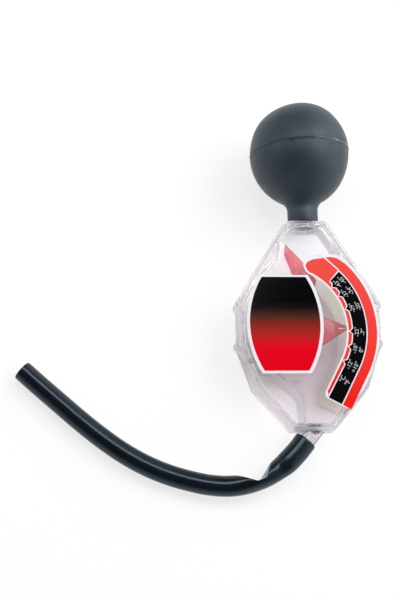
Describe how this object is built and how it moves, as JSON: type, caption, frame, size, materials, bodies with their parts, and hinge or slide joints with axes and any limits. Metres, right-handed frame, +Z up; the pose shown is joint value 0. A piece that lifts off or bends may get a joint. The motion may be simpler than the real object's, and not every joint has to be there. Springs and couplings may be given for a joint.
{
  "type": "antifreeze tester",
  "caption": "Float-type coolant tester: a rubber bulb on a flat clear case with a red swinging pointer, a curved freezing-point scale and a black suction hose.",
  "frame": {"origin": "on the table, below the middle of the tester's length and width, without the hose", "axes": "+Y along the tester from the inlet to the bulb, +Z up from the table, +X to the right seen from the front face; the case lies on its back with its face up"},
  "size_m": [0.178, 0.1966, 0.0502],
  "materials": {
    "clear_case": "clear, slightly lavender plastic, gloss",
    "clear_tube": "clear plastic, gloss",
    "bulb_rubber": "matte slate grey rubber",
    "hose_rubber": "satin to glossy black",
    "red_float": "see-through red plastic",
    "red_blade": "see-through red plastic",
    "weight_brass": "turned",
    "pin_steel": "drawn wire",
    "badge_print": "printed film, black above to red below, white border",
    "scale_print": "printed film, black band between red bands, white border"
  },
  "bodies": {
    "tester": {"front_shell": "clear_case", "rear_shell": "clear_case", "bulb_nipple": "clear_tube", "inlet_spout": "clear_tube", "bulb": "bulb_rubber", "hose": "hose_rubber", "pivot_pin": "pin_steel", "level_blade": "red_blade", "front_badge": "badge_print", "front_scale_label": "scale_print", "rear_badge": "badge_print", "rear_scale_label": "scale_print"},
    "float": {"float_pointer": "red_float", "float_weight": "weight_brass"}
  },
  "joints": [
    {"name": "float_swing", "type": "hinge", "parent": "tester", "child": "float", "pos_m": [-0.0138, -0.02856, 0.0153], "axis": [0, -0.1051, 0.9945], "range_deg": [-32.8, 35.3]}
  ]
}
